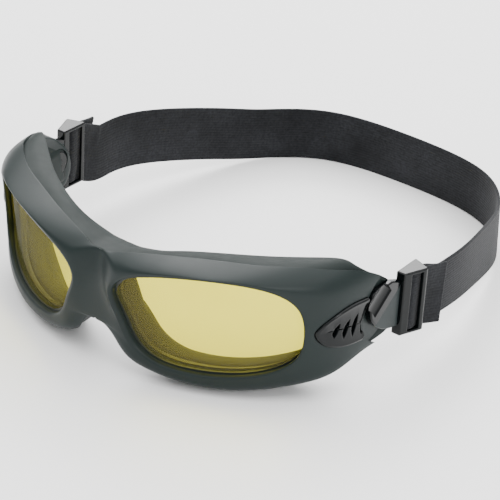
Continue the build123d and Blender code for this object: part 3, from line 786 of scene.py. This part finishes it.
def leaf_loop(grow):
    """The leaf's outline in side view, grown or shrunk towards its spine without ever crossing it."""
    loop = smooth([(y, z, 0) for y, z in LEAF], LEAF_SAMPLES, closed=True)[:, :2]
    spine = np.stack([np.clip(loop[:, 0], *LEAF_SPINE_Y), np.full(len(loop), LEAF_SPINE_Z)], 1)
    away = loop - spine
    distance = np.linalg.norm(away, axis=1)[:, None]
    return spine + away / distance * np.maximum(distance + grow, 0.3)


def side_to_surface(y, z):
    """Surface coordinates of the outer surface's point seen at (y, z) from the side."""
    upright_y = y * cos(TILT) + (z - TILT_Z) * sin(TILT)
    upright_z = TILT_Z - y * sin(TILT) + (z - TILT_Z) * cos(TILT)
    return np.interp(upright_y, PLAN_XY[:, 1], PLAN_S), upright_z


def leaf_solid(name, side, layers, material):
    """Leaf-shaped solid through its layers, which follow the temple's surface."""
    rings = []
    for grow, proud in layers:
        loop = leaf_loop(grow)
        s, z = side_to_surface(loop[:, 0], loop[:, 1])
        rings.append(on_surface(np.stack([s, z, np.full(len(s), proud)], 1)))
    points = np.vstack(rings) * (side, 1, 1)
    count = len(rings[0])
    faces = []
    for i in range(len(rings) - 1):
        for j in range(count):
            k = (j + 1) % count
            faces.append((i * count + j, i * count + k, (i + 1) * count + k, (i + 1) * count + j))
    faces += [tuple(range(count)), tuple((len(rings) - 1) * count + j for j in range(count))]
    piece = mesh_object(name, points, faces, material)
    remove_loose(piece.data)
    return piece


def slot_cutter(middle_y, middle_z, half_length, slant, side):
    """Crescent-shaped prism through the vent cover."""
    share = np.linspace(-1, 1, 17)
    run, rise = half_length * sin(radians(slant)), half_length * cos(radians(slant))
    bow = 1 - share ** 2
    line_y, line_z = middle_y + share * run, middle_z + share * rise
    front = list(zip(line_y - SLOT_BOWS[0] * SLOT_WIDTH * bow, line_z))
    rear = list(zip(line_y + SLOT_BOWS[1] * SLOT_WIDTH * bow, line_z))
    return prism("slot_cutter", front + rear[-2:0:-1], side * SLOT_FROM_X, side * SLOT_TO_X)


def vent_cover(side):
    """Glossy leaf with its slots."""
    cover = leaf_solid("vent_leaf_" + SIDE_NAMES[side], side, VENT_LAYERS_COVER, GLOSS_BLACK)
    for middle_y, middle_z, half_length, slant in SLOTS:
        carve(cover, slot_cutter(middle_y, middle_z, half_length, slant, side))
    sharpen(cover, COVER_SHARP)
    return cover


def carve(piece, tool):
    """Cut the tool out of the piece, and delete the tool."""
    modifier = piece.modifiers.new("cut", "BOOLEAN")
    modifier.operation = "DIFFERENCE"
    modifier.solver = "EXACT"
    modifier.object = tool
    apply_modifiers(piece)
    tool_mesh = tool.data
    bpy.data.objects.remove(tool)
    bpy.data.meshes.remove(tool_mesh)


def sharpen(piece, degrees):
    """Keep cut edges crisp, and the rest smoothly shaded."""
    piece.data.shade_smooth()
    piece.data.set_sharp_from_angle(angle=radians(degrees))


def subdivide(piece, levels):
    """Round the piece with a subdivision surface, applied."""
    modifier = piece.modifiers.new("round", "SUBSURF")
    modifier.levels = modifier.render_levels = levels
    apply_modifiers(piece)


def apply_modifiers(piece):
    """Replace the piece's mesh by its modified one."""
    graph = bpy.context.evaluated_depsgraph_get()
    done = bpy.data.meshes.new_from_object(piece.evaluated_get(graph), depsgraph=graph)
    piece.modifiers.clear()
    old = piece.data
    piece.data = done
    bpy.data.meshes.remove(old)


# ---------------------------------------------------------------- the pieces


def place_piece(piece, body, node):
    """Give the piece its body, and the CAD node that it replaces."""
    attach(piece, body)
    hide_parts(node)


rings, walls, seam, guide = front_rings()
front_shell = mirrored_loft("front_moulding", rings, walls, seam, FRAME_PLASTIC)
parting_line = rings[min(walls)]
rings, walls = seal_rings(parting_line, guide, seam)
seal = mirrored_loft("seal_moulding", rings, walls, seam, SEAL_RUBBER)
strap = strap_band(WEBBING)
subdivide(front_shell, 1)
subdivide(seal, 1)
for side in SIDE_NAMES:
    carve(front_shell, seat_cutter(side))
    carve(front_shell, hub_recess_cutter(side))
    carve(front_shell, leaf_solid("vent_recess", side, VENT_LAYERS_RECESS, FRAME_PLASTIC))
sharpen(front_shell, FRONT_SHARP)

place_piece(front_shell, "frame", "front_frame")
place_piece(seal, "frame", "face_seal")
place_piece(strap, "strap", "strap_band")
for side, side_name in SIDE_NAMES.items():
    place_piece(vent_cover(side), "frame", "vent_cover_" + side_name)

CAD_LOOKS = {"lens": AMBER_LENS, "lens_gasket": GASKET_RUBBER, "vent_cover": GLOSS_BLACK,
             "vent_filter": FOAM, "strap_arm": ARM_PLASTIC, "pivot_cap": GLOSS_BLACK,
             "buckle": GLOSS_BLACK, "strap_bar": GLOSS_BLACK, "front_frame": FRAME_PLASTIC,
             "face_seal": SEAL_RUBBER, "strap_band": WEBBING}
for node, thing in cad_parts.items():
    family = node.removesuffix("_left").removesuffix("_right")
    thing.data.materials.clear()
    thing.data.materials.append(CAD_LOOKS[family])

# ---------------------------------------------------------------- floor, light, camera

FLOOR_HALF = 3.0
WORLD_STRENGTH = 0.82
# Square lights aimed at the middle of the part: place from that middle, size in metres, power in watts
LIGHTS = (("top", (-0.1, 0.1, 1.1), 2.6, 62.0),
          ("side", (0.8, -0.35, 0.45), 0.25, 3.5),
          ("back", (-0.5, 0.7, 0.6), 0.5, 8.0))
# Camera at the photograph's viewing angle, in the bench frame, fitted to the photograph by another program
CAMERA_PLACE = (506.51, -637.45, 461.02)
CAMERA_RIGHT = Vector((0.794047, 0.603068, 0.076144))
CAMERA_UP = Vector((-0.339237, 0.335713, 0.878758))
CAMERA_LENS = 177.23
CAMERA_SENSOR = 36.0
CAMERA_SHIFT = (0.0032, -0.0033)


def pale_floor():
    """Plain floor under the part, which isn't part of the object."""
    corners = ((-FLOOR_HALF, -FLOOR_HALF), (FLOOR_HALF, -FLOOR_HALF), (FLOOR_HALF, FLOOR_HALF),
               (-FLOOR_HALF, FLOOR_HALF))
    mesh = bpy.data.meshes.new("floor")
    mesh.from_pydata([(x, y, 0) for x, y in corners], [], [(0, 1, 2, 3)])
    floor = bpy.data.objects.new("floor", mesh)
    bpy.context.scene.collection.objects.link(floor)
    material, _, _, shader = new_material("floor_pale")
    shader.inputs["Base Color"].default_value = (0.93, 0.93, 0.93, 1)
    shader.inputs["Roughness"].default_value = 0.9
    mesh.materials.append(material)


def area_light(name, place, target, size, power):
    """Square light at a place, aimed at the target."""
    lamp = bpy.data.lights.new(name, "AREA")
    lamp.size = size
    lamp.energy = power
    thing = bpy.data.objects.new(name, lamp)
    thing.location = place
    thing.rotation_euler = (Vector(target) - Vector(place)).to_track_quat("-Z", "Y").to_euler()
    bpy.context.scene.collection.objects.link(thing)


def white_world():
    """Even white light from all around."""
    world = bpy.data.worlds.new("studio")
    world.use_nodes = True
    background = world.node_tree.nodes["Background"]
    background.inputs["Color"].default_value = (1, 1, 1, 1)
    background.inputs["Strength"].default_value = WORLD_STRENGTH
    bpy.context.scene.world = world


def photo_camera():
    """The camera, which frames the part as the photograph does."""
    data = bpy.data.cameras.new("camera")
    data.sensor_width = CAMERA_SENSOR
    data.lens = CAMERA_LENS
    data.shift_x, data.shift_y = CAMERA_SHIFT
    data.clip_start = 0.01
    camera = bpy.data.objects.new("camera", data)
    back = CAMERA_RIGHT.cross(CAMERA_UP).normalized()
    turn = Matrix((CAMERA_RIGHT, CAMERA_UP, back)).transposed().to_4x4()
    camera.matrix_world = Matrix.Translation(Vector(to_row(CAMERA_PLACE))) @ turn
    bpy.context.scene.collection.objects.link(camera)
    bpy.context.scene.camera = camera


pale_floor()
middle = 0.5 * (cad_low + cad_high)
for name, offset, size, power in LIGHTS:
    area_light(name, middle + Vector(offset), middle, size, power)
white_world()
photo_camera()

bpy.context.view_layer.update()
